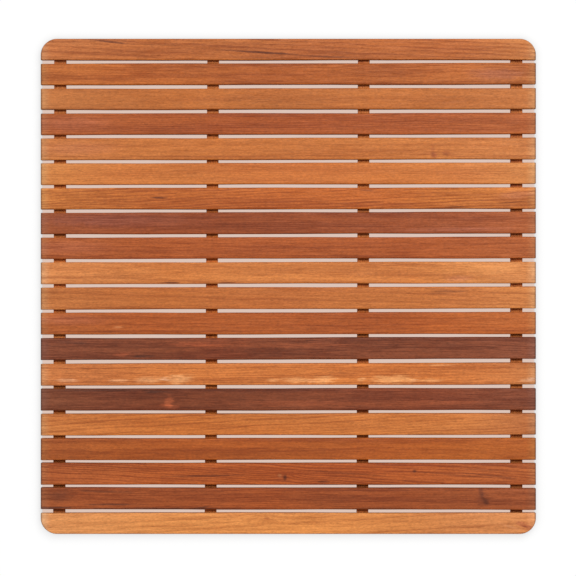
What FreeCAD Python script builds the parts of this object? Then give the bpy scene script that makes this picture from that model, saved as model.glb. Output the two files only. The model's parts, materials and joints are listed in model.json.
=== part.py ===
"""Slatted wooden bath mat: twenty teak slats screwed down on four battens that stand on rubber feet.

Millimetres. +X runs along the slats, +Y across them, +Z up. The origin is on the floor, under the
centre of the mat. Slats are numbered from the +Y edge, battens from the -X side.
"""

import FreeCAD, Part
import math
import os

# Driving dimensions of the deck
DECK_SIDE = 762.0
SLAT_COUNT = 20
SLAT_GAP = 5.0
SLAT_THICKNESS = 13.0
DECK_CORNER_RADIUS = 25.0
TOP_ROUND = 2.0
UNDER_ROUND = 0.8

# Driving dimensions of the battens
BATTEN_COUNT = 4
BATTEN_WIDTH = 18.0
BATTEN_HEIGHT = 15.0
BATTEN_SIDE_MARGIN = 28.0
BATTEN_END_INSET = 10.0
BATTEN_ROUND = 1.5

# Rubber feet
FOOT_HEIGHT = 4.0
FOOT_TOP_RADIUS = 8.0
FOOT_FLOOR_RADIUS = 7.0
FOOT_ROUND = 0.7
FOOT_RECESS_RADIUS = 3.6
FOOT_RECESS_DEPTH = 1.5
FOOT_GROOVE_RADIUS = 5.3
FOOT_GROOVE_WIDTH = 0.8
FOOT_GROOVE_DEPTH = 0.6
FEET_PER_BATTEN = 3

# Countersunk stainless screws
DECK_SCREW_LENGTH = 20.0
DECK_SCREW_HEAD_RADIUS = 3.8
DECK_SCREW_SHANK_RADIUS = 2.0
DECK_SCREW_PLAIN = 9.0
DECK_SCREW_SINK = 3.0
FOOT_SCREW_LENGTH = 12.0
FOOT_SCREW_HEAD_RADIUS = 3.0
FOOT_SCREW_SHANK_RADIUS = 1.5
FOOT_SCREW_PLAIN = 3.0
HEAD_RIM = 0.4
THREAD_DEPTH = 0.5
THREAD_PITCH = 1.5
SCREW_POINT = 2.5
RECESS_DEPTH = 1.3
RECESS_MOUTH = 0.6  # half-span of the cross at its mouth, as a share of the head's radius
RECESS_WING = 0.22  # half-width of a wing of the cross, as a share of that half-span
RECESS_TIP_SPAN = 0.35  # half-span at the cross's tip, as a share of the half-span at its mouth
RECESS_TIP_WING = 0.6
HOLE_CLEARANCE = 0.1

# A tool body starts this far outside the face that it cuts
OVERRUN = 1.0
RECESS_OVERRUN = 0.01
SAME_PLACE = 1e-3

# Worked out from the driving dimensions
SLAT_WIDTH = (DECK_SIDE - (SLAT_COUNT - 1) * SLAT_GAP) / SLAT_COUNT
SLAT_PITCH = SLAT_WIDTH + SLAT_GAP
BATTEN_PITCH = (DECK_SIDE - 2 * BATTEN_SIDE_MARGIN) / (BATTEN_COUNT - 1)
BATTEN_LENGTH = DECK_SIDE - 2 * BATTEN_END_INSET
BATTEN_BOTTOM = FOOT_HEIGHT
SLAT_BOTTOM = BATTEN_BOTTOM + BATTEN_HEIGHT
DECK_TOP = SLAT_BOTTOM + SLAT_THICKNESS
HALF = DECK_SIDE / 2

UP = FreeCAD.Vector(0, 0, 1)


def vec(x, y, z=0.0):
    return FreeCAD.Vector(x, y, z)


def slat_centre(number):
    """Y of a slat's centre line; number 1 is at the +Y edge."""
    return HALF - SLAT_WIDTH / 2 - (number - 1) * SLAT_PITCH


def batten_centre(number):
    """X of a batten's centre line; number 1 is at the -X side."""
    return -HALF + BATTEN_SIDE_MARGIN + (number - 1) * BATTEN_PITCH


def foot_places():
    """Y of each foot on a batten. A foot sits between two screws, under a gap between slats."""
    last_gap = SLAT_COUNT - 1
    gaps = [1 + round(k * (last_gap - 1) / (FEET_PER_BATTEN - 1)) for k in range(FEET_PER_BATTEN)]
    return [slat_centre(gap) - SLAT_PITCH / 2 for gap in gaps]


def revolved(points):
    """A solid of revolution about Z from a closed outline of (radius, z) points."""
    outline = [vec(r, 0, z) for r, z in points]
    face = Part.Face(Part.makePolygon(outline + outline[:1]))
    return face.revolve(vec(0, 0), UP, 360)


def edges_at(shape, z):
    """The edges that lie wholly at one height."""
    ends_there = [e for e in shape.Edges if all(abs(v.Point.z - z) < SAME_PLACE for v in e.Vertexes)]
    return [e for e in ends_there if e.BoundBox.ZLength < SAME_PLACE]


# ---------------------------------------------------------------- screws


def cross_recess(head_radius):
    """The tapered cross that the driver fits, with its mouth at z 0 and its tip above."""
    span = RECESS_MOUTH * head_radius
    wing = RECESS_WING * span

    def cross(reach, half_wing, z):
        quarter = [(reach, -half_wing), (reach, half_wing), (half_wing, half_wing)]
        points = []
        for turn in range(4):
            for x, y in quarter:
                for _ in range(turn):
                    x, y = -y, x
                points.append(vec(x, y, z))
        return Part.makePolygon(points + points[:1])

    mouth = cross(span, wing, -RECESS_OVERRUN)
    tip = cross(RECESS_TIP_SPAN * span, RECESS_TIP_WING * wing, RECESS_DEPTH)
    return Part.makeLoft([mouth, tip], True)


def countersunk_screw(length, head_radius, shank_radius, plain):
    """A wood screw, head down at z 0 and point up. Ring ridges stand for the thread's helix."""
    cone_end = HEAD_RIM + head_radius - shank_radius
    root = shank_radius - THREAD_DEPTH
    points = [(0, 0), (head_radius, 0), (head_radius, HEAD_RIM), (shank_radius, cone_end)]
    points.append((shank_radius, plain))
    z = plain + THREAD_DEPTH
    points.append((root, z))
    while z + THREAD_PITCH < length - SCREW_POINT:
        points += [(shank_radius, z + THREAD_PITCH / 2), (root, z + THREAD_PITCH)]
        z += THREAD_PITCH
    points.append((0, length))
    return revolved(points).cut(cross_recess(head_radius))


def screw_hole(length, head_radius, shank_radius, sink):
    """The space for a screw whose head lies `sink` above the mouth at z 0."""
    wide = head_radius + HOLE_CLEARANCE
    narrow = shank_radius + HOLE_CLEARANCE
    rim = sink + HEAD_RIM
    return revolved([
        (0, -OVERRUN),
        (wide, -OVERRUN),
        (wide, rim),
        (narrow, rim + wide - narrow),
        (narrow, sink + length + HOLE_CLEARANCE),
        (0, sink + length + HOLE_CLEARANCE),
    ])


def deck_screw():
    screw = countersunk_screw(
        DECK_SCREW_LENGTH, DECK_SCREW_HEAD_RADIUS, DECK_SCREW_SHANK_RADIUS, DECK_SCREW_PLAIN
    )
    screw.translate(vec(0, 0, BATTEN_BOTTOM + DECK_SCREW_SINK))
    return screw


def deck_screw_hole():
    hole = screw_hole(
        DECK_SCREW_LENGTH, DECK_SCREW_HEAD_RADIUS, DECK_SCREW_SHANK_RADIUS, DECK_SCREW_SINK
    )
    hole.translate(vec(0, 0, BATTEN_BOTTOM))
    return hole


def foot_screw():
    screw = countersunk_screw(
        FOOT_SCREW_LENGTH, FOOT_SCREW_HEAD_RADIUS, FOOT_SCREW_SHANK_RADIUS, FOOT_SCREW_PLAIN
    )
    screw.translate(vec(0, 0, FOOT_RECESS_DEPTH))
    return screw


def foot_screw_hole():
    radius = FOOT_SCREW_SHANK_RADIUS + HOLE_CLEARANCE
    depth = FOOT_RECESS_DEPTH + FOOT_SCREW_LENGTH + HOLE_CLEARANCE
    return Part.makeCylinder(radius, depth, vec(0, 0))


def placed(shape, x, y):
    copy = shape.copy()
    copy.translate(vec(x, y))
    return copy


# ---------------------------------------------------------------- wood


def slat_outline(number):
    """Plan outline of a slat. The first and the last have the deck's two rounded corners."""
    low = slat_centre(number) - SLAT_WIDTH / 2
    high = low + SLAT_WIDTH
    if number not in (1, SLAT_COUNT):
        corners = [vec(-HALF, low), vec(HALF, low), vec(HALF, high), vec(-HALF, high)]
        return Part.makePolygon(corners + corners[:1])
    outward = 1 if number == 1 else -1
    inner, outer = (low, high) if outward > 0 else (high, low)
    radius = DECK_CORNER_RADIUS
    turn = outer - outward * radius
    mid = radius * (1 - math.cos(math.pi / 4))
    right = Part.Arc(
        vec(HALF, turn), vec(HALF - mid, outer - outward * mid), vec(HALF - radius, outer)
    ).toShape()
    left = Part.Arc(
        vec(-HALF + radius, outer), vec(-HALF + mid, outer - outward * mid), vec(-HALF, turn)
    ).toShape()
    return Part.Wire([
        Part.makeLine(vec(-HALF, inner), vec(HALF, inner)),
        Part.makeLine(vec(HALF, inner), vec(HALF, turn)),
        right,
        Part.makeLine(vec(HALF - radius, outer), vec(-HALF + radius, outer)),
        left,
        Part.makeLine(vec(-HALF, turn), vec(-HALF, inner)),
    ])


def slat(number, screw_space):
    """One deck slat with eased edges and a pilot hole over each batten."""
    outline = slat_outline(number)
    outline.translate(vec(0, 0, SLAT_BOTTOM))
    board = Part.Face(outline).extrude(vec(0, 0, SLAT_THICKNESS))
    board = board.makeFillet(TOP_ROUND, edges_at(board, DECK_TOP))
    board = board.makeChamfer(UNDER_ROUND, edges_at(board, SLAT_BOTTOM))
    for batten_number in range(1, BATTEN_COUNT + 1):
        board = board.cut(placed(screw_space, batten_centre(batten_number), slat_centre(number)))
    return board


def batten(number, screw_space, foot_space):
    """One batten, its lower edges eased, with sunk screw holes and the feet's pilot holes."""
    x = batten_centre(number)
    corner = vec(x - BATTEN_WIDTH / 2, -BATTEN_LENGTH / 2, BATTEN_BOTTOM)
    bar = Part.makeBox(BATTEN_WIDTH, BATTEN_LENGTH, BATTEN_HEIGHT, corner)
    bar = bar.makeFillet(BATTEN_ROUND, edges_at(bar, BATTEN_BOTTOM))
    for slat_number in range(1, SLAT_COUNT + 1):
        bar = bar.cut(placed(screw_space, x, slat_centre(slat_number)))
    for y in foot_places():
        bar = bar.cut(placed(foot_space, x, y))
    return bar


# ---------------------------------------------------------------- feet


def foot():
    """A moulded rubber foot with a sunk screw seat and one grip groove."""
    seat = FOOT_RECESS_DEPTH + HEAD_RIM
    head = FOOT_SCREW_HEAD_RADIUS + HOLE_CLEARANCE
    shank = FOOT_SCREW_SHANK_RADIUS + HOLE_CLEARANCE
    groove_in = FOOT_GROOVE_RADIUS - FOOT_GROOVE_WIDTH / 2
    groove_out = FOOT_GROOVE_RADIUS + FOOT_GROOVE_WIDTH / 2
    body = revolved([
        (shank, FOOT_HEIGHT),
        (shank, seat + head - shank),
        (head, seat),
        (FOOT_RECESS_RADIUS, FOOT_RECESS_DEPTH),
        (FOOT_RECESS_RADIUS, 0),
        (groove_in, 0),
        (groove_in, FOOT_GROOVE_DEPTH),
        (groove_out, FOOT_GROOVE_DEPTH),
        (groove_out, 0),
        (FOOT_FLOOR_RADIUS, 0),
        (FOOT_TOP_RADIUS, FOOT_HEIGHT),
    ])
    across = 2 * FOOT_FLOOR_RADIUS
    rim = [e for e in edges_at(body, 0) if abs(e.BoundBox.XLength - across) < SAME_PLACE]
    return body.makeFillet(FOOT_ROUND, rim)


# ---------------------------------------------------------------- the parts, one file for each node


def write(shape, node):
    shape.exportStep(f"parts/{node}.step")
    print(f"{node}: {len(shape.Solids)} solid, {shape.Volume / 1000:.2f} cm3, valid {shape.isValid()}")


def build():
    os.makedirs("parts", exist_ok=True)
    screw_space = deck_screw_hole()
    foot_space = foot_screw_hole()
    one_screw = deck_screw()
    one_foot = foot()
    one_foot_screw = foot_screw()

    for number in range(1, SLAT_COUNT + 1):
        write(slat(number, screw_space), f"slat_{number:02d}")

    for number in range(1, BATTEN_COUNT + 1):
        x = batten_centre(number)
        write(batten(number, screw_space, foot_space), f"batten_{number}")
        rows = [slat_centre(n) for n in range(1, SLAT_COUNT + 1)]
        deck_screws = [placed(one_screw, x, y) for y in rows]
        write(Part.makeCompound(deck_screws), f"deck_screws_batten_{number}")
        places = foot_places()
        for place, y in enumerate(places, start=1):
            write(placed(one_foot, x, y), f"foot_{number}_{place}")
        foot_screws = [placed(one_foot_screw, x, y) for y in places]
        write(Part.makeCompound(foot_screws), f"foot_screws_batten_{number}")


build()
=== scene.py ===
"""How the slatted teak bath mat looks: twenty oiled slats, their battens, screws and rubber feet.

Metres, in the CAD frame: +X runs along the slats, +Y across them, +Z up, and the floor is z 0.
"""

import json
import math
from dataclasses import dataclass

import bpy
import numpy as np
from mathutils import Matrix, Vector


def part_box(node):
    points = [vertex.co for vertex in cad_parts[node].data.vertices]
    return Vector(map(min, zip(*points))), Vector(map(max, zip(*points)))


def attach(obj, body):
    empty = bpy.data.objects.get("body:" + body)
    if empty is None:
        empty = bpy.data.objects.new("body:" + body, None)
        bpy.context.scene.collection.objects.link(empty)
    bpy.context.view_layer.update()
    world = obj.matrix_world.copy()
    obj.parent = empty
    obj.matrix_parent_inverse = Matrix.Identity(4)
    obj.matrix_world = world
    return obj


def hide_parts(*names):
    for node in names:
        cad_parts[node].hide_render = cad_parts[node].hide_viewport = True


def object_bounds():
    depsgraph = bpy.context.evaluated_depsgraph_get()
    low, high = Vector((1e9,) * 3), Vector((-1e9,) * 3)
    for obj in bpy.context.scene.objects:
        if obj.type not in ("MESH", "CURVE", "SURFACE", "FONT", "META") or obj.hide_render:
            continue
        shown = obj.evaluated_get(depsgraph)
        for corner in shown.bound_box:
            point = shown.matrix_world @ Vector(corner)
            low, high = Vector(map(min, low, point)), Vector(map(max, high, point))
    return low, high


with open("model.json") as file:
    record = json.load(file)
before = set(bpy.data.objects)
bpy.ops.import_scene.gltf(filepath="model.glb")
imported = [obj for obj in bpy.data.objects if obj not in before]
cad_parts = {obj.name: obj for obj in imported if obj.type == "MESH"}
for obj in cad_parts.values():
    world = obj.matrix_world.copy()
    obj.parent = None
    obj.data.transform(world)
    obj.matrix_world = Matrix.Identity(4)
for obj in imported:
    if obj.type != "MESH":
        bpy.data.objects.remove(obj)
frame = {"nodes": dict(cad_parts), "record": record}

CAD_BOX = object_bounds()
MM = 0.001
DECK_HALF = CAD_BOX[1].x
DECK_TOP = CAD_BOX[1].z
SLOT_OF = {part["node"]: part["material_slot"] for part in frame["record"]["subparts"]}


def nodes_named(start):
    """The CAD nodes whose names begin so, in order."""
    return sorted(name for name in frame["nodes"] if name.startswith(start))


SLATS = nodes_named("slat_")
BATTENS = nodes_named("batten_")


# ---------------------------------------------------------------- the boards

# Tones of oiled teak, in sRGB: the colour of each board seen from a step away
TONES = {
    "teak_straw": (213, 139, 91),
    "teak_honey": (204, 123, 71),
    "teak_amber": (195, 115, 65),
    "teak_copper": (183, 103, 57),
    "teak_russet": (171, 89, 47),
    "teak_chestnut": (150, 77, 45),
    "teak_umber": (128, 68, 47),
    "teak_batten": (198, 116, 60),
}


@dataclass
class Mark:
    """A spot or streak on a board's face. Places and sizes are in millimetres."""

    look: str
    along: float
    across: float
    length: float
    width: float
    slope: float = 0.0
    strength: float = 0.7


@dataclass
class Wash:
    """A stretch of a board that is paler or darker. Its middle and length are in millimetres."""

    along: float
    length: float
    tint: tuple


@dataclass
class Board:
    """How one board was cut from its tree and laid, and what shows on its face.

    Lengths are in millimetres. The pith is the tree's heart, across and up from the middle of the board's
    face. Shift, lean and extra width set the board off its line in the CAD model, as it was laid by hand.
    """

    tint: tuple = (1.0, 1.0, 1.0)
    ring: float = 2.6
    pith: tuple = (70.0, -30.0)
    slope: float = 0.0
    dive: float = 0.0
    curl: float = 1.0
    lines: float = 0.35
    streaks: float = 0.5
    mottle: float = 0.25
    knot: tuple = (0.0, 0.0, 0.0)
    marks: tuple = ()
    washes: tuple = ()
    shift: float = 0.0
    lean: float = 0.0
    extra_width: float = 0.0


BOARDS = {
    "slat_01": Board(
        tint=(1.00, 1.06, 1.16),
        washes=(
            Wash(50, 320, (0.90, 0.85, 0.84)),
            Wash(381, 240, (1.14, 1.28, 1.30)),
        ),
        shift=0.3, lean=0.2, extra_width=-0.6,
        ring=5.5, pith=(-60, -42), slope=0.05, curl=2.4, lines=0.45, streaks=0.6,
        marks=(
            Mark("streak", -274, 11.5, 84, 4.4, -0.11, 0.85),
            Mark("streak", -200, 7, 150, 3.4, -0.03, 0.35),
            Mark("streak", -44, -4.5, 150, 4.8, -0.06, 0.9),
            Mark("streak", 55, -11, 130, 3.6, -0.04, 0.55),
        ),
    ),
    "slat_02": Board(
        tint=(0.93, 0.90, 0.74),
        washes=(
            Wash(-280, 300, (1.12, 1.12, 1.06)),
            Wash(0, 400, (0.93, 0.89, 0.86)),
        ),
        shift=0.9, lean=0.5, extra_width=-0.5,
        ring=2.2, pith=(90, -20), lines=0.5, streaks=0.85, mottle=0.25,
        marks=(Mark("mauve", 320, 0, 120, 26, 0, 0.25),),
    ),
    "slat_03": Board(
        tint=(0.89, 0.90, 0.87),
        shift=0.9, lean=0.6, extra_width=-0.8,
        ring=5.0, pith=(15, -70), curl=2.0, lines=0.2, streaks=0.35, mottle=0.4,
    ),
    "slat_04": Board(
        tint=(0.96, 0.94, 0.88),
        washes=(
            Wash(340, 360, (1.07, 1.12, 1.14)),
        ),
        shift=0.9, lean=0.6, extra_width=-0.5,
        ring=2.8, pith=(80, -60), slope=-0.01, lines=0.45, streaks=0.6,
        marks=(Mark("blush", -330, 0, 170, 32, 0, 0.15),),
    ),
    "slat_05": Board(
        tint=(0.98, 1.01, 1.01),
        shift=0.8, lean=0.8, extra_width=0.3,
        ring=4.5, pith=(30, -55), curl=2.2, lines=0.25, mottle=0.3, knot=(228, -7, 0.8),
        marks=(
            Mark("burl", 224, -10, 15, 11, 0.0, 0.8),
            Mark("burl", 222, 0, 9, 22, 0.0, 0.4),
            Mark("burl", 243, -6, 18, 14, 0.0, 0.4),
            Mark("blush", -320, 0, 170, 30, 0, 0.15),
        ),
    ),
    "slat_06": Board(
        tint=(0.93, 0.90, 0.85),
        washes=(
            Wash(-381, 300, (1.08, 1.20, 1.22)),
            Wash(0, 440, (0.97, 0.91, 0.88)),
            Wash(381, 260, (1.02, 1.12, 1.16)),
        ),
        shift=1.0, lean=0.8, extra_width=-0.3,
        ring=3.0, pith=(100, -50), lines=0.2, streaks=0.45, mottle=0.3,
        marks=(Mark("streak", -322, 5, 26, 2.4, -0.4, 0.3),),
    ),
    "slat_07": Board(
        tint=(1.08, 1.06, 0.84),
        washes=(
            Wash(-381, 360, (1.18, 1.34, 1.40)),
            Wash(0, 480, (0.97, 0.88, 0.81)),
            Wash(280, 280, (1.06, 1.14, 1.08)),
        ),
        shift=1.1, lean=0.6, extra_width=-0.2,
        ring=3.6, pith=(34, -26), slope=-0.02, dive=0.03, curl=3.0, lines=0.6, streaks=0.85,
        marks=(
            Mark("streak", -199, 1, 34, 4.2, 0, 0.9),
            Mark("streak", -262, -11, 30, 3, 0, 0.4),
            Mark("streak", 122, 12, 46, 3.6, -0.05, 0.5),
            Mark("streak", 128, -5, 44, 3.4, -0.03, 0.4),
            Mark("streak", 258, -13, 64, 4, 0, 0.6),
            Mark("streak", 345, -6, 100, 3, 0.08, 0.4),
            Mark("mauve", 350, 5, 90, 18, 0.1, 0.2),
        ),
    ),
    "slat_08": Board(
        tint=(1.02, 0.98, 0.93),
        washes=(
            Wash(381, 220, (1.28, 1.38, 1.28)),
        ),
        shift=1.6, lean=0.8,
        ring=2.4, pith=(95, -25), lines=0.45, streaks=0.75,
        marks=(
            Mark("mauve", -250, 4, 330, 30, 0, 0.3),
            Mark("blush", 250, -10, 260, 9, 0.02, 0.2),
        ),
    ),
    "slat_09": Board(
        tint=(0.97, 0.93, 0.84),
        shift=1.7, lean=0.6, extra_width=-0.3,
        ring=3.4, pith=(-40, -60), curl=1.6, lines=0.5, streaks=0.75,
        marks=(
            Mark("blush", -330, 0, 190, 32, 0, 0.12),
            Mark("streak", -222, 3, 10, 1.5, 0, 0.5),
        ),
    ),
    "slat_10": Board(
        tint=(1.05, 1.12, 1.25),
        washes=(
            Wash(310, 300, (1.06, 1.12, 1.10)),
        ),
        shift=1.6, lean=0.7, extra_width=0.1,
        ring=5.2, pith=(8, -48), slope=0.03, curl=3.4, lines=0.35, streaks=0.45, mottle=0.3,
        marks=(
            Mark("streak", -182, -15, 46, 4, 0, 0.8),
            Mark("streak", -95, -15, 36, 3.4, 0, 0.65),
            Mark("blush", 262, -9, 60, 14, 0.05, 0.3),
        ),
    ),
    "slat_11": Board(
        tint=(0.97, 0.98, 1.00),
        washes=(
            Wash(-381, 240, (1.06, 1.10, 1.12)),
            Wash(-30, 360, (0.95, 0.91, 0.92)),
            Wash(381, 280, (1.09, 1.15, 1.12)),
        ),
        shift=1.2, lean=0.8, extra_width=0.6,
        ring=4.2, pith=(24, -34), dive=-0.02, curl=1.8, lines=0.35, streaks=0.45,
        marks=(
            Mark("streak", 250, 10.5, 84, 5, 0, 0.55),
            Mark("streak", 232, 7.5, 50, 3.2, -0.02, 0.35),
        ),
    ),
    "slat_12": Board(
        tint=(1.03, 1.01, 0.84),
        washes=(
            Wash(-90, 340, (0.93, 0.92, 0.90)),
            Wash(260, 480, (1.11, 1.17, 1.10)),
        ),
        shift=0.6, lean=0.6, extra_width=0.4,
        ring=3.8, pith=(-50, -45), curl=2.0, lines=0.35, streaks=0.55, mottle=0.4,
        marks=(
            Mark("blush", -330, 5, 160, 22, 0, 0.15),
            Mark("sapwood", -262, -6, 24, 5, 0.05, 0.3),
            Mark("streak", -276, -13, 60, 3.4, 0, 0.4),
        ),
    ),
    "slat_13": Board(
        tint=(1.03, 0.99, 0.96),
        washes=(
            Wash(-110, 180, (1.12, 1.05, 0.98)),
        ),
        shift=0.2, lean=1.1, extra_width=0.4,
        ring=2.6, pith=(45, -20), slope=0.02, curl=2.8, lines=0.6, streaks=1.1, mottle=0.5,
        marks=(
            Mark("ember", -143, 6, 120, 9, -0.02, 0.4),
            Mark("ember", 20, 5, 240, 10, 0.0, 0.22),
            Mark("ember", -255, -9, 40, 9, 0.1, 0.45),
            Mark("soot", -226, -12, 52, 5, 0.02, 0.6),
            Mark("soot", -330, 9, 90, 7, -0.06, 0.3),
        ),
    ),
    "slat_14": Board(
        tint=(1.00, 0.95, 0.92),
        washes=(
            Wash(-300, 320, (0.92, 0.88, 0.90)),
            Wash(120, 400, (1.09, 1.10, 1.06)),
            Wash(381, 160, (0.86, 0.90, 1.00)),
        ),
        shift=-0.8, lean=0.8, extra_width=0.4,
        ring=3.2, pith=(60, -36), curl=2.0, lines=0.5, streaks=0.75, mottle=0.4,
        marks=(
            Mark("sapwood", -341, -10, 48, 8, 0, 0.8),
            Mark("sapwood", -261, -10, 52, 7, 0.02, 0.75),
            Mark("sapwood", -214, -9, 66, 13, 0.04, 0.8),
            Mark("sapwood", -169, -8, 60, 20, 0.04, 1.0),
            Mark("sapwood", -23, -9, 28, 7, 0, 0.55),
            Mark("sapwood", 14, -9, 60, 12, 0, 0.75),
            Mark("sapwood", 54, -8, 54, 16, 0.04, 0.8),
            Mark("sapwood", 112, -8, 20, 8, 0.2, 0.6),
            Mark("sapwood", 162, -8, 92, 19, 0.02, 1.0),
            Mark("sapwood", 216, -10, 56, 8, 0, 0.7),
            Mark("sapwood", 366, -9, 36, 8, 0.15, 0.6),
            Mark("sapwood", 236, 14, 60, 4, 0.02, 0.6),
        ),
    ),
    "slat_15": Board(
        tint=(0.98, 0.90, 0.83),
        washes=(
            Wash(-381, 240, (1.06, 1.20, 1.22)),
            Wash(-110, 420, (0.89, 0.88, 0.85)),
            Wash(200, 420, (1.18, 1.12, 1.04)),
        ),
        shift=-1.4, lean=0.5, extra_width=0.5,
        ring=2.4, pith=(70, -22), curl=2.0, lines=0.5, streaks=1.0, mottle=0.4,
        marks=(
            Mark("ember", -184, -11, 40, 12, 0, 0.5),
            Mark("ember", -183, -3, 18, 26, 0, 0.55),
            Mark("soot", -205, 12, 60, 7, 0, 0.5),
            Mark("soot", -290, 14, 190, 5, 0, 0.45),
            Mark("ember", 0, -6, 300, 14, 0, 0.25),
            Mark("ember", 250, -4, 160, 8, 0, 0.2),
        ),
    ),
    "slat_16": Board(
        tint=(1.13, 1.17, 1.14),
        washes=(
            Wash(381, 260, (0.70, 0.64, 0.70)),
        ),
        shift=-1.3, lean=0.5,
        ring=3.4, pith=(50, -44), slope=-0.06, curl=3.0, lines=0.45, streaks=0.5, mottle=0.3,
        marks=(Mark("streak", 220, -15, 90, 3, 0, 0.35),),
    ),
    "slat_17": Board(
        tint=(1.06, 1.06, 0.74),
        washes=(
            Wash(-360, 260, (0.88, 0.86, 1.00)),
            Wash(10, 180, (0.93, 0.90, 0.86)),
            Wash(260, 400, (1.07, 1.12, 1.02)),
        ),
        shift=-1.0, lean=0.4, extra_width=0.2,
        ring=6.0, pith=(-20, -60), curl=1.6, lines=0.4, streaks=0.55, mottle=0.3,
    ),
    "slat_18": Board(
        tint=(1.10, 1.06, 0.94),
        washes=(
            Wash(-360, 320, (0.88, 0.84, 0.86)),
            Wash(-60, 280, (1.05, 1.05, 1.00)),
        ),
        shift=-0.9, lean=-0.1, extra_width=0.2,
        ring=3.4, pith=(40, -24), slope=0.06, curl=4.0, lines=0.85, streaks=0.75, knot=(-5, -4, 1.6),
        marks=(
            Mark("streak", -130, -3, 190, 5, 0.02, 0.6),
            Mark("streak", 90, 1, 200, 3.6, -0.07, 0.4),
            Mark("streak", 250, -1, 220, 3.4, -0.08, 0.4),
            Mark("streak", 313, -3, 150, 3.2, -0.10, 0.5),
            Mark("streak", 300, 6, 120, 3, -0.05, 0.4),
            Mark("streak", 54, -12, 26, 6, 0, 0.6),
            Mark("burl", -12, -4, 24, 16, 0, 0.4),
            Mark("knot", -5, -6, 8, 13, 0, 0.8),
            Mark("sapwood", -13, -2, 9, 8, 0, 0.35),
            Mark("burl", 192, 4, 16, 10, 0, 0.4),
            Mark("knot", 194, 4, 9, 7, 0, 0.65),
        ),
    ),
    "slat_19": Board(
        tint=(1.06, 1.01, 0.85),
        washes=(
            Wash(-310, 160, (1.08, 1.06, 1.00)),
            Wash(-30, 240, (1.17, 1.15, 1.02)),
            Wash(381, 200, (0.92, 0.90, 0.92)),
        ),
        shift=-0.7, lean=-0.3, extra_width=0.1,
        ring=2.8, pith=(55, -24), curl=2.4, lines=0.45, streaks=0.9, mottle=0.3, knot=(303, -2, 1.2),
        marks=(
            Mark("soot", -352, 5, 60, 26, 0, 0.3),
            Mark("soot", -360, -14, 90, 6, 0, 0.7),
            Mark("soot", -270, -9, 110, 4, 0, 0.6),
            Mark("soot", -285, 11, 130, 5, -0.03, 0.4),
            Mark("soot", -200, -15, 330, 4, 0, 0.6),
            Mark("soot", -130, -13, 40, 4, 0.1, 0.5),
            Mark("soot", 130, -15, 160, 4, 0, 0.4),
            Mark("streak", 300, 0, 30, 30, 0, 0.35),
            Mark("streak", 297, 8, 13, 24, -1.0, 0.55),
            Mark("knot", 304, -5, 14, 14, -0.4, 0.6),
        ),
    ),
    "slat_20": Board(
        tint=(1.12, 1.15, 1.14),
        washes=(
            Wash(-30, 340, (1.13, 1.17, 1.18)),
            Wash(280, 400, (0.86, 0.78, 0.76)),
            Wash(384, 56, (0.98, 0.78, 0.62)),
        ),
        shift=-0.4, extra_width=-0.8,
        ring=5.5, pith=(40, -40), slope=-0.06, curl=3.0, lines=0.32, streaks=0.5, mottle=0.25,
        knot=(-33, 8, 1.0),
        marks=(
            Mark("burl", -33, 8, 14, 5, 0, 0.6),
            Mark("burl", -190, 13, 44, 5, 0, 0.35),
            Mark("streak", -24, -13, 10, 3, 0, 0.4),
            Mark("ember", 364, -3, 34, 14, -0.3, 0.6),
            Mark("sapwood", 342, -5, 50, 5, -0.3, 0.5),
            Mark("burl", 364, -5, 14, 5, -0.3, 0.6),
        ),
    ),
    # The battens' washes set how light each batten shows in the gaps. Those at -381 on batten_1 and
    # batten_4 are painted shade, darkening the battens towards -Y where the slats above shade them.
    "batten_1": Board(
        washes=(
            Wash(-381, 220, (0.58, 0.58, 0.65)),
            Wash(-20, 300, (1.20, 1.25, 1.50)),
            Wash(381, 140, (0.92, 0.78, 0.68)),
        ),
        lean=0.9,
        ring=2.6, pith=(60, -30), slope=0.01, lines=0.4, streaks=0.6,
    ),
    "batten_2": Board(
        washes=(
            Wash(0, 600, (1.25, 1.20, 1.00)),
        ),
        shift=-0.4, lean=2.2,
        ring=3.0, pith=(-45, -38), slope=-0.015, lines=0.4, streaks=0.5,
    ),
    "batten_3": Board(
        washes=(
            Wash(381, 160, (0.85, 0.68, 0.62)),
        ),
        shift=-2.2, lean=1.2,
        ring=2.4, pith=(50, -26), slope=0.02, lines=0.45, streaks=0.6,
    ),
    "batten_4": Board(
        washes=(
            Wash(-381, 220, (0.58, 0.58, 0.65)),
            Wash(140, 260, (0.86, 0.82, 1.00)),
        ),
        shift=-0.8,
        ring=3.2, pith=(-70, -34), slope=0.005, lines=0.4, streaks=0.5,
    ),
}

# Geometry of a slat. The rounds are the CAD slats'.
TOP_ROUND = 2.0 * MM
UNDER_ROUND = 0.8 * MM
DECK_CORNER_RADIUS = 25.0 * MM
SMALL_CORNER_RADIUS = 1.0 * MM
EASE_STEPS = 6
STEP_ALONG = 4.0 * MM
STEP_ACROSS = 2.4 * MM
SIDE_ROWS = 3
CUP = 0.12 * MM
# Hand planing: the size of the waves in a slat's edges and faces, and the longest wave along each
EDGE_WANDER = 0.22 * MM
FACE_WANDER = 0.05 * MM
EDGE_WAVE = 500 * MM
END_WAVE = 200 * MM
FACE_WAVE = 160 * MM
WAVES = 4
WAVE_CHANCE = (0.8, 1.2)
SHARP_ANGLE = math.radians(35)
EDGE_NAME = "from_edge"

# Pilot holes over the battens, as in the CAD slats
PILOT_RADIUS = 2.1 * MM
PILOT_TOP = 27.1 * MM
PILOT_SIDES = 16


def off_line(batten, y):
    """How far along X a batten, laid by hand, stands off its line at this place across the deck."""
    board = BOARDS[batten]
    return (board.shift + board.lean * y / DECK_HALF) * MM


def eased_lines(length, step):
    """Grid lines along a length: close together over its two eased edges, even between them."""
    turn = np.linspace(0, math.pi / 2, EASE_STEPS + 1)
    edge = TOP_ROUND * (1 - np.cos(turn))
    count = round((length - 2 * TOP_ROUND) / step)
    middle = np.linspace(TOP_ROUND, length - TOP_ROUND, count + 1)[1:-1]
    return np.concatenate([edge, middle, length - edge[::-1]]) - length / 2


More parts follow.
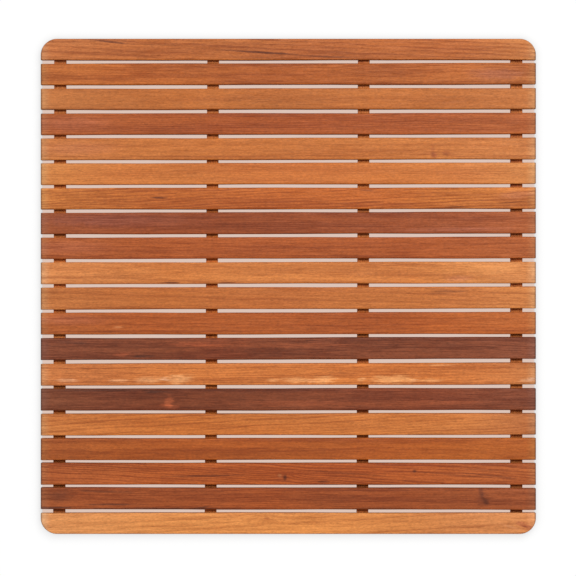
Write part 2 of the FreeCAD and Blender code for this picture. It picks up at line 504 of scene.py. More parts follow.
def wander(x, chance, longest, size):
    """A smooth random line: waves of ever shorter length and smaller height."""
    total = np.zeros_like(x)
    for halving in range(WAVES):
        wavelength = longest / 2**halving * chance.uniform(*WAVE_CHANCE)
        total += np.sin(2 * math.pi * x / wavelength + chance.uniform(0, 2 * math.pi)) / 2**halving
    return size * total


def round_corner(x, y, corner_x, corner_y, radius):
    """Bends the square corner of a grid onto an arc. Lines beside the edge stay as far from it."""
    side_x, side_y = math.copysign(1, corner_x), math.copysign(1, corner_y)
    a = (side_x * (x - corner_x) + radius) / radius
    b = (side_y * (y - corner_y) + radius) / radius
    inside = (a > 0) & (b > 0)
    longer = np.where(inside, np.maximum(a, b), 1)
    shorter = np.where(inside, np.minimum(a, b), 0)
    tilt = math.pi / 4 * shorter / longer
    angle = np.where(a >= b, tilt, math.pi / 2 - tilt)
    new_x = corner_x + side_x * radius * (longer * np.cos(angle) - 1)
    new_y = corner_y + side_y * radius * (longer * np.sin(angle) - 1)
    return np.where(inside, new_x, x), np.where(inside, new_y, y)


def eased(distance, radius):
    """How far a face has dropped, at a distance from the edge that is rounded to this radius."""
    within = np.clip(distance, 0, radius)
    return radius - np.sqrt(radius**2 - (radius - within) ** 2)


def closed_board(top, bottom, side_rows):
    """Vertices and faces of a board from two grids of points and rows of points down its side."""
    rows, columns = top.shape[:2]
    index = np.arange(rows * columns).reshape(rows, columns)
    upper = np.stack([index[:-1, :-1], index[1:, :-1], index[1:, 1:], index[:-1, 1:]], -1).reshape(-1, 4)
    lower = upper[:, ::-1] + rows * columns
    rim = np.concatenate([index[:-1, 0], index[-1, :-1], index[:0:-1, -1], index[0, :0:-1]])
    rings = [rim]
    start = 2 * rows * columns
    for row in range(len(side_rows)):
        rings.append(start + row * len(rim) + np.arange(len(rim)))
    rings.append(rim + rows * columns)
    walls = []
    for high, low in zip(rings[:-1], rings[1:]):
        walls.append(np.stack([high, low, np.roll(low, -1), np.roll(high, -1)], -1))
    points = np.concatenate([top.reshape(-1, 3), bottom.reshape(-1, 3)] + side_rows)
    return points, np.concatenate([upper, lower] + walls), rim


def slat_mesh(name, number, low, high, board):
    """One slat with eased, slightly wavy edges, and the deck's rounded corners if it is an outer one."""
    chance = np.random.default_rng(number)
    length, width = high.x - low.x, high.y - low.y
    middle_y = (low.y + high.y) / 2
    lines_x = eased_lines(length, STEP_ALONG)
    lines_y = eased_lines(width, STEP_ACROSS)
    x, y = np.meshgrid(lines_x, lines_y, indexing="ij")
    inset = np.minimum(length / 2 - np.abs(x), width / 2 - np.abs(y))
    share = y / width + 0.5

    # The way the deck's edge faces on the first and the last slat
    outward = {1: 1, len(SLATS): -1}.get(number, 0)
    for side_x in (-1, 1):
        for side_y in (-1, 1):
            radius = DECK_CORNER_RADIUS if side_y == outward else SMALL_CORNER_RADIUS
            x, y = round_corner(x, y, side_x * length / 2, side_y * width / 2, radius)

    lower_edge = wander(lines_x, chance, EDGE_WAVE, EDGE_WANDER)[:, None] * (outward != -1)
    upper_edge = wander(lines_x, chance, EDGE_WAVE, EDGE_WANDER)[:, None] * (outward != 1)
    # An outer slat leans with its inner edge alone, so the deck's edge stays straight
    free = {1: 2 * (1 - share), -1: 2 * share}.get(outward, 1)
    lean = board.lean * lines_x[:, None] / DECK_HALF * free
    set_off = (board.shift + lean + board.extra_width * (share - 0.5)) * MM
    y = y + middle_y + set_off + lower_edge * (1 - share) + upper_edge * share
    end_trim = wander(lines_y, chance, END_WAVE, FACE_WANDER)[None, :]
    x = x * (1 - 2 * np.abs(end_trim) / length)

    face = wander(lines_x, chance, FACE_WAVE, FACE_WANDER)[:, None] * np.ones_like(share)
    # The waves and the cup stay below the CAD slat's top
    sink = FACE_WANDER * 2 + face / 2 + CUP * (2 * share - 1) ** 2
    top = np.stack([x, y, high.z - eased(inset, TOP_ROUND) - sink], -1)
    bottom = np.stack([x, y, low.z + eased(inset, UNDER_ROUND)], -1)

    side_rows = []
    _, _, rim = closed_board(top, bottom, [])
    rim_top = top.reshape(-1, 3)[rim]
    rim_bottom = bottom.reshape(-1, 3)[rim]
    for row in range(1, SIDE_ROWS + 1):
        side_rows.append(rim_top + (rim_bottom - rim_top) * row / (SIDE_ROWS + 1))
    points, faces, _ = closed_board(top, bottom, side_rows)
    mesh = bpy.data.meshes.new(name)
    mesh.from_pydata(points.tolist(), [], faces.tolist())
    from_edge = np.zeros(len(points), np.float32)
    from_edge[: 2 * inset.size] = np.tile(inset.ravel(), 2)
    mesh.attributes.new(EDGE_NAME, "FLOAT", "POINT").data.foreach_set("value", from_edge)
    return mesh


def pilot_hole_cutter(middle_y, low_z):
    """A mesh of one drill hole over each batten."""
    points, faces = [], []
    angles = [2 * math.pi * k / PILOT_SIDES for k in range(PILOT_SIDES)]
    for batten in BATTENS:
        low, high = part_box(batten)
        middle_x = (low.x + high.x) / 2 + off_line(batten, middle_y)
        start = len(points)
        for z in (low_z - PILOT_RADIUS, PILOT_TOP):
            for a in angles:
                x = middle_x + PILOT_RADIUS * math.cos(a)
                points.append((x, middle_y + PILOT_RADIUS * math.sin(a), z))
        ring = [start + k for k in range(PILOT_SIDES)]
        faces.append(ring[::-1])
        faces.append([k + PILOT_SIDES for k in ring])
        for k in range(PILOT_SIDES):
            nxt = (k + 1) % PILOT_SIDES
            faces.append([ring[k], ring[nxt], ring[nxt] + PILOT_SIDES, ring[k] + PILOT_SIDES])
    mesh = bpy.data.meshes.new("pilot_holes")
    mesh.from_pydata(points, [], faces)
    return mesh


def shown(name, mesh):
    piece = bpy.data.objects.new(name, mesh)
    bpy.context.scene.collection.objects.link(piece)
    return piece


def drilled(mesh, cutter_mesh):
    """The mesh with the cutter's shape taken out of it."""
    board, cutter = shown("board", mesh), shown("cutter", cutter_mesh)
    cut = board.modifiers.new("cut", "BOOLEAN")
    cut.object = cutter
    cut.operation = "DIFFERENCE"
    cut.solver = "EXACT"
    graph = bpy.context.evaluated_depsgraph_get()
    result = bpy.data.meshes.new_from_object(board.evaluated_get(graph))
    bpy.data.objects.remove(board)
    bpy.data.objects.remove(cutter)
    return result


def put_in_place(piece, node, material):
    """The piece stands for a CAD node, rides on the mat and takes its material."""
    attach(piece, "root")
    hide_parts(node)
    piece.data.materials.clear()
    piece.data.materials.append(material)


def make_slat(number, node):
    """A slat with its pilot holes and its own teak."""
    low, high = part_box(node)
    board = BOARDS[node]
    solid = slat_mesh(f"{node}_solid", number, low, high, board)
    mesh = drilled(solid, pilot_hole_cutter((low.y + high.y) / 2, low.z))
    mesh.name = f"teak_{node}"
    mesh.shade_smooth()
    mesh.set_sharp_from_angle(angle=SHARP_ANGLE)
    middle = (low + high) / 2 + Vector((0, board.shift * MM, 0))
    put_in_place(shown(mesh.name, mesh), node, board_material(node, number, middle, high.z, False))


def make_batten(number, batten, steel, rubber):
    """A batten set a little off its line, with the screws and feet that are fixed to it."""
    low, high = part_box(batten)
    teak = board_material(batten, len(SLATS) + number, (low + high) / 2, high.z, True)
    make_laid(batten, batten, "teak", teak)
    for node in sorted(frame["nodes"]):
        if node.endswith(f"screws_{batten}"):
            make_laid(node, batten, "steel", steel)
        if node.startswith(f"foot_{number}_"):
            make_laid(node, batten, "rubber", rubber)


def make_laid(node, batten, kind, material):
    """A copy of a CAD node, standing as far off its line as its batten does."""
    mesh = frame["nodes"][node].data.copy()
    mesh.name = f"{kind}_{node}"
    for vertex in mesh.vertices:
        vertex.co.x += off_line(batten, vertex.co.y)
    put_in_place(shown(mesh.name, mesh), node, material)


# ---------------------------------------------------------------- shader building

WHITE = (1.0, 1.0, 1.0, 1.0)
NOISE_MEAN = 0.5
# Nearly all of a noise's values lie between these
NOISE_SPREAD = (0.3, 0.7)


@dataclass
class Noise:
    """One kind of noise: how many grains it has in a metre along, across and up, and how fine it is."""

    per_metre: tuple
    detail: float
    roughness: float = 0.5


class Nodes:
    """Adds nodes to one shader tree. A value given to an input may be a number or another output."""

    def __init__(self, tree):
        self.tree = tree

    def feed(self, socket, value):
        if isinstance(value, bpy.types.NodeSocket):
            self.tree.links.new(value, socket)
        else:
            socket.default_value = value

    def node(self, kind, inputs, **settings):
        made = self.tree.nodes.new("ShaderNode" + kind)
        for name, value in settings.items():
            setattr(made, name, value)
        for key, value in inputs.items():
            self.feed(made.inputs[key], value)
        return made

    def maths(self, operation, *values):
        return self.node("Math", dict(enumerate(values)), operation=operation).outputs[0]

    def vector(self, operation, a, b):
        return self.node("VectorMath", {0: a, 1: b}, operation=operation).outputs[0]

    def sum_of_squares(self, a, b):
        return self.maths("ADD", self.maths("MULTIPLY", a, a), self.maths("MULTIPLY", b, b))

    def split(self, vector):
        return self.node("SeparateXYZ", {0: vector}).outputs

    def join(self, x, y, z):
        return self.node("CombineXYZ", {0: x, 1: y, 2: z}).outputs[0]

    def noise(self, place, kind):
        """Noise from 0 to 1."""
        spread = self.vector("MULTIPLY", place, kind.per_metre)
        inputs = {"Vector": spread, "Scale": 1.0, "Detail": kind.detail, "Roughness": kind.roughness}
        return self.node("TexNoise", inputs).outputs[0]

    def wave(self, place, kind):
        """Noise that goes as far below zero as above it."""
        return self.maths("SUBTRACT", self.noise(place, kind), NOISE_MEAN)

    def step(self, value, start, end, low=0.0, high=1.0):
        """A smooth step from low to high as the value goes from start to end."""
        inputs = {"Value": value, "From Min": start, "From Max": end, "To Min": low, "To Max": high}
        return self.node("MapRange", inputs, interpolation_type="SMOOTHSTEP").outputs[0]

    def mix(self, factor, a, b):
        made = self.node("Mix", {}, data_type="RGBA")
        colours = [socket for socket in made.inputs if socket.type == "RGBA"]
        self.feed(made.inputs[0], factor)
        self.feed(colours[0], a)
        self.feed(colours[1], b)
        return next(socket for socket in made.outputs if socket.type == "RGBA")

    def scaled(self, colour, by):
        """The colour times a number."""
        return self.vector("MULTIPLY", colour, self.join(by, by, by))

    def washed(self, colour, cover, tint):
        """The colour times a tint, as far as the cover goes."""
        return self.vector("MULTIPLY", colour, self.mix(cover, WHITE, tint))

    def group(self, tree, values):
        """The outputs of a node that stands for a whole group and is fed with these values."""
        made = self.node("Group", {}, node_tree=tree)
        for key, value in values.items():
            self.feed(made.inputs[key], value)
        return made.outputs


def new_group(name, inputs, outputs):
    """An empty node group with these sockets, and its builder and the outputs of its input node."""
    tree = bpy.data.node_groups.new(name, "ShaderNodeTree")
    for way, sockets in (("INPUT", inputs), ("OUTPUT", outputs)):
        for socket, kind in sockets.items():
            tree.interface.new_socket(name=socket, in_out=way, socket_type="NodeSocket" + kind)
    given = tree.nodes.new("NodeGroupInput").outputs
    result = tree.nodes.new("NodeGroupOutput").inputs
    return tree, Nodes(tree), given, result


def linear(rgb):
    """An sRGB colour of 0 to 255 as a linear one, by the sRGB formula."""
    shares = [c / 255 for c in rgb]
    return [c / 12.92 if c <= 0.04045 else ((c + 0.055) / 1.055) ** 2.4 for c in shares]


def with_alpha(rgb):
    return (*rgb, 1.0)


def tinted(colour, by):
    return with_alpha(c * k for c, k in zip(colour, by))


# ---------------------------------------------------------------- teak

# What the wood reflects, as a share of the colour seen under the studio's light
LIGHT_BALANCE = (0.93, 0.83, 0.51)
# The wood between the dark lines, in the lines and in the open pores, beside the board's own colour
PALE_TINT = (1.18, 1.24, 1.30)
DEEP_TINT = (0.67, 0.56, 0.50)
PORE_TINT = (0.30, 0.22, 0.20)
# How far each channel follows the broad clouds of paler, pinker wood
CLOUD_TINT = (0.24, 0.45, 0.78)
# Painted light at the ends: how much paler each board is drawn, at the tip and over a longer stretch,
# standing in for side light falling on them
TIP_REACH = 18 * MM
TIP_PAINTED_LIGHT = (1.07, 1.42, 2.10)
END_REACH = 200 * MM
END_PAINTED_LIGHT = (1.08, 1.20, 1.55)
# Painted shade: the eased edges are drawn a little darker, and so is a line round a board's rounded ends,
# where the roundovers turn away from the light
ARRIS_WIDTH = 1.5 * MM
ARRIS_PAINTED_SHADE = 0.88
END_LINE = (0.5 * MM, 3.4 * MM)
END_LINE_PAINTED_SHADE = 0.55
# The sawn end grain itself is a deep brown
END_GRAIN = (0.3 * MM, 0.6 * MM)
END_GRAIN_TINT = (1.0, 0.62, 0.32)

# The kinds of unevenness, from the bend of the rings to the ragged edge of a mark
CURL = Noise((5, 22, 22), detail=1.0)
RING_EDGE = Noise((22, 260, 260), detail=2.0)
FIBRE = Noise((24, 620, 620), detail=3.0, roughness=0.6)
BAND = Noise((4, 95, 95), detail=2.0)
PATCH = Noise((7, 34, 34), detail=1.0)
FIGURE = Noise((60, 170, 170), detail=2.0)
PORE = Noise((150, 2300, 2300), detail=1.0)
FLECK = Noise((190, 520, 520), detail=2.0, roughness=0.7)
CLOUD = Noise((3.4, 14, 14), detail=1.0)
MARK_EDGE = Noise((55, 380, 380), detail=2.0)
# The levels between which a noise turns from clear wood into a fibre, a band or a pore
FIBRE_EDGES = (0.34, 0.66)
BAND_EDGES = (0.36, 0.64)
PORE_EDGES = (0.62, 0.72)
# Each board's noise starts this much further on, in metres, and this many times as far along it
SEED_STEP = 3.1
SEED_ALONG = 1.7

# Growth rings. A ring line darkens slowly, then ends at once; some lines are fainter than others.
CURL_UNIT = 4 * MM
KNOT_REACH = (24 * MM, 7 * MM)
RING_RAGGED = 0.9
LINE_STARTS = 0.30
LINE_PEAKS = 0.92
FAINTEST_LINE = 0.2
# How dark the wood is between its lines, on the way from pale to deep
PLAIN_DARKNESS = 0.36
FIBRE_SHARE = 0.5
PATCH_DEPTH = 0.24
FLECK_DEPTH = 0.85
PORE_COVER = 0.35
# A mark is solid out to this share of its size, then fades out
MARK_CORE = 0.2

TEAK_SPECULAR = 0.2
TEAK_ROUGH = 0.54
FIBRE_ROUGH = 0.10
PORE_ROUGH = 0.16
RELIEF_DEPTH = 0.06 * MM
FIBRE_HEIGHT = 0.35
PORE_DEPTH = 0.8
LINE_DEPTH = 0.3

MARK_COLOURS = {
    "streak": (92, 40, 20),
    "soot": (52, 30, 24),
    "knot": (84, 36, 14),
    "sapwood": (234, 158, 96),
    "ember": (182, 92, 52),
    "burl": (150, 72, 34),
    "blush": (196, 116, 86),
    "mauve": (150, 88, 74),
}
MARK_RAGGED = {
    "streak": 0.9,
    "soot": 1.4,
    "knot": 0.5,
    "sapwood": 1.3,
    "ember": 1.8,
    "burl": 0.7,
    "blush": 0.6,
    "mauve": 0.8,
}


def ring_line(n, given, moved):
    """How strongly a growth ring's dark line shows, from 0 to 1."""
    along, across, up = n.split(given["Place"])
    curl = n.maths("MULTIPLY", n.wave(moved, CURL), given["Curl"])
    across_bent = n.maths("ADD", n.maths("MULTIPLY_ADD", along, given["Slope"], across), curl)
    up_bent = n.maths("MULTIPLY_ADD", along, given["Dive"], up)
    out_across = n.maths("SUBTRACT", across_bent, given["Pith Across"])
    out_up = n.maths("SUBTRACT", up_bent, given["Pith Up"])
    rings = n.maths("DIVIDE", n.maths("SQRT", n.sum_of_squares(out_across, out_up)), given["Ring"])

    # The rings bulge round a knot
    knot_u = n.maths("DIVIDE", n.maths("SUBTRACT", along, given["Knot Along"]), KNOT_REACH[0])
    knot_v = n.maths("DIVIDE", n.maths("SUBTRACT", across, given["Knot Across"]), KNOT_REACH[1])
    nearness = n.maths("EXPONENT", n.maths("MULTIPLY", n.sum_of_squares(knot_u, knot_v), -1.0))
    hill = n.maths("MULTIPLY", nearness, given["Knot Swell"])
    ragged = n.maths("MULTIPLY", n.noise(moved, RING_EDGE), RING_RAGGED)
    count = n.maths("ADD", n.maths("ADD", rings, hill), ragged)

    phase = n.maths("FRACT", count)
    rise = n.step(phase, LINE_STARTS, LINE_PEAKS)
    fall = n.step(phase, LINE_PEAKS, 1.0, 1.0, 0.0)
    line = n.maths("MULTIPLY", rise, fall)
    random = n.node("TexWhiteNoise", {"W": n.maths("FLOOR", count)}, noise_dimensions="1D").outputs[0]
    return n.maths("MULTIPLY", line, n.maths("MULTIPLY_ADD", random, 1.0 - FAINTEST_LINE, FAINTEST_LINE))


def teak_group():
    """Solid teak: growth rings round the tree's heart, fibres, bands, figure and pores."""
    colours = ("Pale", "Deep", "Pore")
    floats = ("Seed", "Ring", "Pith Across", "Pith Up", "Slope", "Dive", "Curl", "Lines", "Streaks",
              "Mottle", "Knot Along", "Knot Across", "Knot Swell")
    inputs = {"Place": "Vector"}
    inputs.update({name: "Color" for name in colours})
    inputs.update({name: "Float" for name in floats})
    outputs = {"Color": "Color", "Rough": "Float", "Relief": "Float"}
    tree, n, given, result = new_group("teak", inputs, outputs)
    seed = given["Seed"]
    moved = n.vector("ADD", given["Place"], n.join(n.maths("MULTIPLY", seed, SEED_ALONG), seed, seed))
    line = ring_line(n, given, moved)

    # Fibres and bands along the board
    fibre = n.step(n.noise(moved, FIBRE), *FIBRE_EDGES)
    band = n.step(n.noise(moved, BAND), *BAND_EDGES)
    streak = n.maths("MULTIPLY_ADD", fibre, FIBRE_SHARE, n.maths("MULTIPLY", band, 1.0 - FIBRE_SHARE))
    uneven = n.maths("SUBTRACT", streak, NOISE_MEAN)
    plain = n.maths("MULTIPLY_ADD", uneven, given["Streaks"], PLAIN_DARKNESS)
    dark = n.step(n.maths("MULTIPLY_ADD", line, given["Lines"], plain), 0.0, 1.0)
    colour = n.mix(dark, given["Pale"], given["Deep"])

    # Figure, patches and flecks change how light it is, and clouds also change its hue
    glow = n.maths("MULTIPLY_ADD", n.wave(moved, FIGURE), given["Mottle"], 1.0)
    glow = n.maths("MULTIPLY_ADD", n.wave(moved, PATCH), PATCH_DEPTH, glow)
    glow = n.maths("MULTIPLY_ADD", n.wave(moved, FLECK), FLECK_DEPTH, glow)
    cloud = n.wave(moved, CLOUD)
    clouds = [n.maths("MULTIPLY_ADD", cloud, share, 1.0) for share in CLOUD_TINT]
    colour = n.vector("MULTIPLY", n.scaled(colour, glow), n.join(*clouds))
    pore = n.step(n.noise(moved, PORE), *PORE_EDGES)
    n.feed(result["Color"], n.mix(n.maths("MULTIPLY", pore, PORE_COVER), colour, given["Pore"]))

    rough = n.maths("MULTIPLY_ADD", fibre, FIBRE_ROUGH, TEAK_ROUGH)
    n.feed(result["Rough"], n.maths("MULTIPLY_ADD", pore, PORE_ROUGH, rough))
    relief = n.maths("MULTIPLY", fibre, FIBRE_HEIGHT)
    relief = n.maths("MULTIPLY_ADD", pore, -PORE_DEPTH, relief)
    n.feed(result["Relief"], n.maths("MULTIPLY_ADD", line, -LINE_DEPTH, relief))
    return tree


def mark_group():
    """Lays one long ragged spot of a second colour over a colour."""
    floats = ("Along", "Across", "Half Length", "Half Width", "Slope", "Strength", "Ragged")
    inputs = {"Color": "Color", "Tint": "Color", "Place": "Vector"}
    inputs.update({name: "Float" for name in floats})
    tree, n, given, result = new_group("mark", inputs, {"Color": "Color"})
    along, across, _ = n.split(given["Place"])
    out_along = n.maths("SUBTRACT", along, given["Along"])
    out_across = n.maths("SUBTRACT", across, given["Across"])
    out_across = n.maths("SUBTRACT", out_across, n.maths("MULTIPLY", out_along, given["Slope"]))
    u = n.maths("DIVIDE", out_along, given["Half Length"])
    v = n.maths("DIVIDE", out_across, given["Half Width"])
    far = n.maths("SQRT", n.sum_of_squares(u, v))
    far = n.maths("MULTIPLY_ADD", n.wave(given["Place"], MARK_EDGE), given["Ragged"], far)
    cover = n.maths("MULTIPLY", n.step(far, MARK_CORE, 1.0, 1.0, 0.0), given["Strength"])
    n.feed(result["Color"], n.washed(given["Color"], cover, given["Tint"]))
    return tree


def wash_group():
    """Changes a colour over one stretch of the board, most at its middle."""
    inputs = {"Color": "Color", "Tint": "Color", "Place": "Vector"}
    inputs.update({"Along": "Float", "Half Length": "Float"})
    tree, n, given, result = new_group("wash", inputs, {"Color": "Color"})
    out_along = n.maths("ABSOLUTE", n.maths("SUBTRACT", n.split(given["Place"])[0], given["Along"]))
    cover = n.step(n.maths("DIVIDE", out_along, given["Half Length"]), 0.0, 1.0, 1.0, 0.0)
    n.feed(result["Color"], n.washed(given["Color"], cover, given["Tint"]))
    return tree


TEAK, MARK, WASH = teak_group(), mark_group(), wash_group()


def painted_ends_and_end_grain(n, colour, from_end):
    """The board's colour with its paler ends (painted light), the dark line round them (painted shade)
    and the sawn end grain.
    """
    # Painted light: paler tips and a paler stretch towards each end
    for reach, tint in ((TIP_REACH, TIP_PAINTED_LIGHT), (END_REACH, END_PAINTED_LIGHT)):
        colour = n.washed(colour, n.step(from_end, 0.0, reach, 1.0, 0.0), with_alpha(tint))
    # Painted shade: a darker line round the rounded ends
    colour = n.scaled(colour, n.step(from_end, *END_LINE, END_LINE_PAINTED_SHADE, 1.0))
    return n.washed(colour, n.step(from_end, *END_GRAIN, 1.0, 0.0), with_alpha(END_GRAIN_TINT))


def board_material(node, number, centre, face_z, turned):
    """Teak for one board. A turned board's grain runs along Y."""
    board = BOARDS[node]
    material = bpy.data.materials.new(f"teak_{node}")
    material.use_nodes = True
    tree = material.node_tree
    n = Nodes(tree)
    shader = next(node for node in tree.nodes if node.type == "BSDF_PRINCIPLED")
    x, y, z = n.split(n.node("TexCoord", {}).outputs["Object"])
    x = n.maths("SUBTRACT", x, centre.x)
    y = n.maths("SUBTRACT", y, centre.y)
    z = n.maths("SUBTRACT", z, face_z)
    along, across = (y, x) if turned else (x, y)
    place = n.join(along, across, z)

    tone = linear(TONES[SLOT_OF[node]])
    mean = [c * light * own for c, light, own in zip(tone, LIGHT_BALANCE, board.tint)]
    teak = n.group(TEAK, {
        "Place": place,
        "Pale": tinted(mean, PALE_TINT),
        "Deep": tinted(mean, DEEP_TINT),
        "Pore": tinted(mean, PORE_TINT),
        "Seed": number * SEED_STEP,
        "Ring": board.ring * MM,
        "Pith Across": board.pith[0] * MM,
        "Pith Up": board.pith[1] * MM,
        "Slope": board.slope,
        "Dive": board.dive,
        "Curl": board.curl * CURL_UNIT,
        "Lines": board.lines,
        "Streaks": board.streaks,
        "Mottle": board.mottle,
        "Knot Along": board.knot[0] * MM,
        "Knot Across": board.knot[1] * MM,
        "Knot Swell": board.knot[2],
    })
    colour = teak["Color"]
    for wash in board.washes:
        colour = n.group(WASH, {
            "Color": colour,
            "Tint": with_alpha(wash.tint),
            "Place": place,
            "Along": wash.along * MM,
            "Half Length": wash.length / 2 * MM,
        })["Color"]
    for mark in board.marks:
        colour = n.group(MARK, {
            "Color": colour,
            "Tint": with_alpha(c / k for c, k in zip(linear(MARK_COLOURS[mark.look]), mean)),
            "Place": place,
            "Along": mark.along * MM,
            "Across": mark.across * MM,
            "Half Length": mark.length / 2 * MM,
            "Half Width": mark.width / 2 * MM,
            "Slope": mark.slope,
            "Strength": mark.strength,
            "Ragged": MARK_RAGGED[mark.look],
        })["Color"]
    colour = painted_ends_and_end_grain(n, colour, n.maths("SUBTRACT", DECK_HALF, n.maths("ABSOLUTE", along)))
    # Painted shade: the slat's eased edges drawn darker, where the roundover turns away from the light
    if not turned:
        from_edge = n.node("Attribute", {}, attribute_name=EDGE_NAME).outputs["Fac"]
        colour = n.scaled(colour, n.step(from_edge, 0.0, ARRIS_WIDTH, ARRIS_PAINTED_SHADE, 1.0))
    n.feed(shader.inputs["Base Color"], colour)
    n.feed(shader.inputs["Roughness"], teak["Rough"])
    bump = n.node("Bump", {"Height": teak["Relief"], "Distance": RELIEF_DEPTH, "Strength": 1.0})
    n.feed(shader.inputs["Normal"], bump.outputs[0])
    shader.inputs["Specular IOR Level"].default_value = TEAK_SPECULAR
    return material


# ---------------------------------------------------------------- steel and rubber

STEEL_FILM = Noise((400, 400, 400), detail=3.0)
STEEL_TURNING = Noise((300, 300, 9000), detail=2.0)
STEEL_FILMED = (0.50, 0.49, 0.47, 1.0)
STEEL_BRIGHT = (0.68, 0.67, 0.65, 1.0)
STEEL_ROUGH = (0.24, 0.42)
STEEL_RELIEF = 0.01 * MM

RUBBER_SKIN = Noise((2500, 2500, 2500), detail=3.0)
RUBBER_DUST = Noise((180, 180, 180), detail=4.0)
RUBBER_DUST_EDGES = (0.45, 0.75)
RUBBER_CLEAN = (0.018, 0.017, 0.016, 1.0)
RUBBER_DUSTY = (0.060, 0.056, 0.052, 1.0)
RUBBER_ROUGH = (0.62, 0.82)
RUBBER_RELIEF = 0.05 * MM
RUBBER_SPECULAR = 0.4


def plain_material(name):
    """A new material, the builder of its tree, its shader and the place on the object."""
    material = bpy.data.materials.new(name)
    material.use_nodes = True
    n = Nodes(material.node_tree)
    shader = next(node for node in n.tree.nodes if node.type == "BSDF_PRINCIPLED")
    return material, n, shader, n.node("TexCoord", {}).outputs["Object"]


def steel_material():
    """Passivated stainless steel: fine turning marks and a faint grey film."""
    material, n, shader, place = plain_material("stainless_steel")
    film = n.noise(place, STEEL_FILM)
    turning = n.noise(place, STEEL_TURNING)
    n.feed(shader.inputs["Base Color"], n.mix(film, STEEL_FILMED, STEEL_BRIGHT))
    n.feed(shader.inputs["Roughness"], n.step(turning, *NOISE_SPREAD, *STEEL_ROUGH))
    bump = n.node("Bump", {"Height": turning, "Distance": STEEL_RELIEF})
    n.feed(shader.inputs["Normal"], bump.outputs[0])
    shader.inputs["Metallic"].default_value = 1.0
    return material


def rubber_material():
    """Moulded black rubber: a fine matt skin with a little dust in it."""
    material, n, shader, place = plain_material("black_rubber")
    skin = n.noise(place, RUBBER_SKIN)
    dust = n.step(n.noise(place, RUBBER_DUST), *RUBBER_DUST_EDGES)
    n.feed(shader.inputs["Base Color"], n.mix(dust, RUBBER_CLEAN, RUBBER_DUSTY))
    n.feed(shader.inputs["Roughness"], n.step(skin, *NOISE_SPREAD, *RUBBER_ROUGH))
    bump = n.node("Bump", {"Height": skin, "Distance": RUBBER_RELIEF})
    n.feed(shader.inputs["Normal"], bump.outputs[0])
    shader.inputs["Specular IOR Level"].default_value = RUBBER_SPECULAR
    return material


# ---------------------------------------------------------------- the mat

for number, node in enumerate(SLATS, start=1):
    make_slat(number, node)

steel = steel_material()
rubber = rubber_material()
for number, node in enumerate(BATTENS, start=1):
    make_batten(number, node, steel, rubber)


# ---------------------------------------------------------------- floor, light and camera

FLOOR_HALF = 60.0
# How much light the floor reflects to the camera and to the mat, and how bright its own light looks
FLOOR_GREY = 0.06
FLOOR_BOUNCE = 0.8
FLOOR_GLOW = 0.95
# The weak light that it throws up under the mat, so that the underside can be seen
UNDER_GLOW = 0.3
# The soft shade that the mat lays on the lit floor: under it, and beside it, where it fades out
SHADE_UNDER = (0.755, 0.58, 0.50)
SHADE_EDGE = 0.33
SHADE_REACH = 5.0 * MM
# The even light from all round, beside the white that the camera sees
FILL = 0.25
# The soft lamp: its place, size and power
KEY = ((0.5, 1.15, 3.6), (1.2, 1.2), 128.0)
# The camera takes in this width of the deck's top, from this far above it
FRAME_WIDTH = 0.886
CAMERA_DISTANCE = 4.4
# Its place in X and Y, a little off the mat's middle
CAMERA_PLACE = (-0.0005, -0.0025)
SENSOR = 36.0


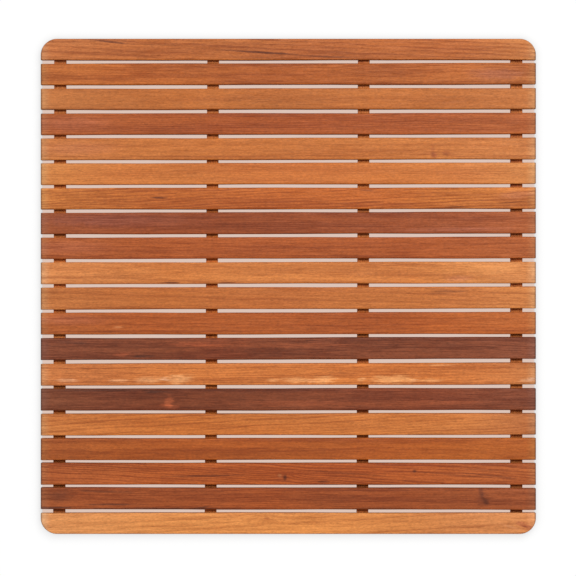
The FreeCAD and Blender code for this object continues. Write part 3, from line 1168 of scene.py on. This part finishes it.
def make_floor():
    """A plain white studio floor, lit from within like a light table and shaded softly near the mat.

    From below it is clear, so that the mat's underside can be looked at.
    """
    corners = [(x * FLOOR_HALF, y * FLOOR_HALF, 0.0) for x, y in ((-1, -1), (1, -1), (1, 1), (-1, 1))]
    mesh = bpy.data.meshes.new("floor")
    mesh.from_pydata(corners, [], [(0, 1, 2, 3)])
    floor = shown("floor", mesh)
    material = bpy.data.materials.new("studio_floor")
    material.use_nodes = True
    tree = material.node_tree
    tree.nodes.clear()
    n = Nodes(tree)
    camera_ray = n.node("LightPath", {}).outputs["Is Camera Ray"]
    grey = n.step(camera_ray, 0.0, 1.0, FLOOR_BOUNCE, FLOOR_GREY)
    matt = n.node("BsdfDiffuse", {"Color": n.join(grey, grey, grey)}).outputs[0]
    x, y, _ = n.split(n.node("TexCoord", {}).outputs["Object"])
    corner = DECK_HALF - DECK_CORNER_RADIUS
    out_x = n.maths("MAXIMUM", n.maths("SUBTRACT", n.maths("ABSOLUTE", x), corner), 0.0)
    out_y = n.maths("MAXIMUM", n.maths("SUBTRACT", n.maths("ABSOLUTE", y), corner), 0.0)
    out = n.maths("SQRT", n.sum_of_squares(out_x, out_y))
    outside = n.maths("SUBTRACT", out, DECK_CORNER_RADIUS)
    fading = n.maths("EXPONENT", n.maths("DIVIDE", n.maths("MAXIMUM", outside, 0.0), -SHADE_REACH))
    beside = n.maths("MULTIPLY_ADD", fading, -SHADE_EDGE, 1.0)
    under = n.step(outside, -MM, MM)
    shade = n.mix(under, with_alpha(SHADE_UNDER), n.join(beside, beside, beside))
    under_light = n.step(outside, -MM, MM, UNDER_GLOW, 0.0)
    strength = n.maths("MAXIMUM", n.maths("MULTIPLY", camera_ray, FLOOR_GLOW), under_light)
    glow = n.node("Emission", {"Color": shade, "Strength": strength}).outputs[0]
    lit = n.node("AddShader", {0: matt, 1: glow}).outputs[0]
    clear = n.node("BsdfTransparent", {}).outputs[0]
    below = n.node("NewGeometry", {}).outputs["Backfacing"]
    surface = n.node("MixShader", {0: below, 1: lit, 2: clear}).outputs[0]
    n.node("OutputMaterial", {"Surface": surface})
    mesh.materials.append(material)


def make_world():
    """White behind everything, and a weaker even fill from all round."""
    world = bpy.data.worlds.new("studio")
    bpy.context.scene.world = world
    world.use_nodes = True
    tree = world.node_tree
    tree.nodes.clear()
    n = Nodes(tree)
    camera_ray = n.node("LightPath", {}).outputs["Is Camera Ray"]
    strength = n.step(camera_ray, 0.0, 1.0, FILL, 1.0)
    back = n.node("Background", {"Color": WHITE, "Strength": strength}).outputs[0]
    n.node("OutputWorld", {"Surface": back})


def make_lamp(name, place, size, power):
    """A soft lamp that shines at the middle of the mat. The camera doesn't see it."""
    light = bpy.data.lights.new(name, "AREA")
    light.shape = "RECTANGLE"
    light.size, light.size_y = size
    light.energy = power
    lamp = bpy.data.objects.new(name, light)
    lamp.location = place
    lamp.rotation_euler = Vector(place).to_track_quat("Z", "Y").to_euler()
    lamp.visible_camera = False
    bpy.context.scene.collection.objects.link(lamp)


def make_camera():
    """Straight above the mat, as far off as a long lens stands."""
    lens = bpy.data.cameras.new("camera")
    lens.sensor_width = SENSOR
    lens.lens = SENSOR * CAMERA_DISTANCE / FRAME_WIDTH
    lens.clip_end = 2 * FLOOR_HALF
    camera = bpy.data.objects.new("camera", lens)
    camera.location = (*CAMERA_PLACE, DECK_TOP + CAMERA_DISTANCE)
    bpy.context.scene.collection.objects.link(camera)
    bpy.context.scene.camera = camera


make_floor()
make_world()
make_lamp("key", *KEY)
make_camera()
bpy.context.scene.view_settings.view_transform = "Standard"
